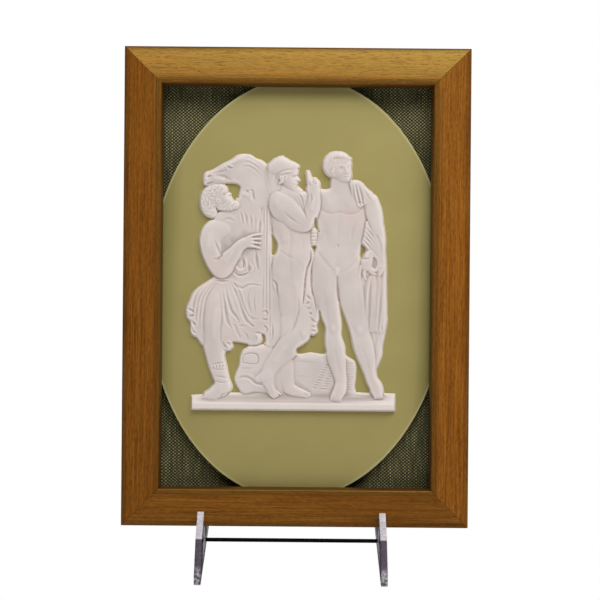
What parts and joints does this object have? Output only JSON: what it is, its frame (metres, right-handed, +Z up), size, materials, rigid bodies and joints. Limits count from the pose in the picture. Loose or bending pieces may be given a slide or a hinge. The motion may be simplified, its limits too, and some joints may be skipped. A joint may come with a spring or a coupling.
{
  "type": "framed jasperware plaque on an easel stand",
  "caption": "Oval stoneware plaque with white relief figures and a horse, set on burlap in a mitred wooden frame, leaning on a clear acrylic easel stand.",
  "frame": {"origin": "on the ground under the middle of the whole object's box", "axes": "+Z up; the picture faces -Y and leans back towards +Y; +X to the right as seen from the front"},
  "size_m": [0.28, 0.1792, 0.3985],
  "materials": {
    "stained_wood": "stained and waxed, satin",
    "green_stoneware": "matt olive stoneware body",
    "white_stoneware": "matt white stoneware",
    "green_burlap": "coarse plain weave",
    "backing_board": "plain hardboard",
    "clear_acrylic": "polished clear acrylic",
    "black_rod": "black satin"
  },
  "bodies": {
    "root": {"frame_top_rail": "stained_wood", "frame_right_stile": "stained_wood", "frame_bottom_rail": "stained_wood", "frame_left_stile": "stained_wood", "plaque_ground": "green_stoneware", "figure_relief": "white_stoneware", "backing_cloth": "green_burlap", "backing_board": "backing_board", "stand_left_side": "clear_acrylic", "stand_right_side": "clear_acrylic", "stand_crossbar": "black_rod"}
  },
  "joints": []
}
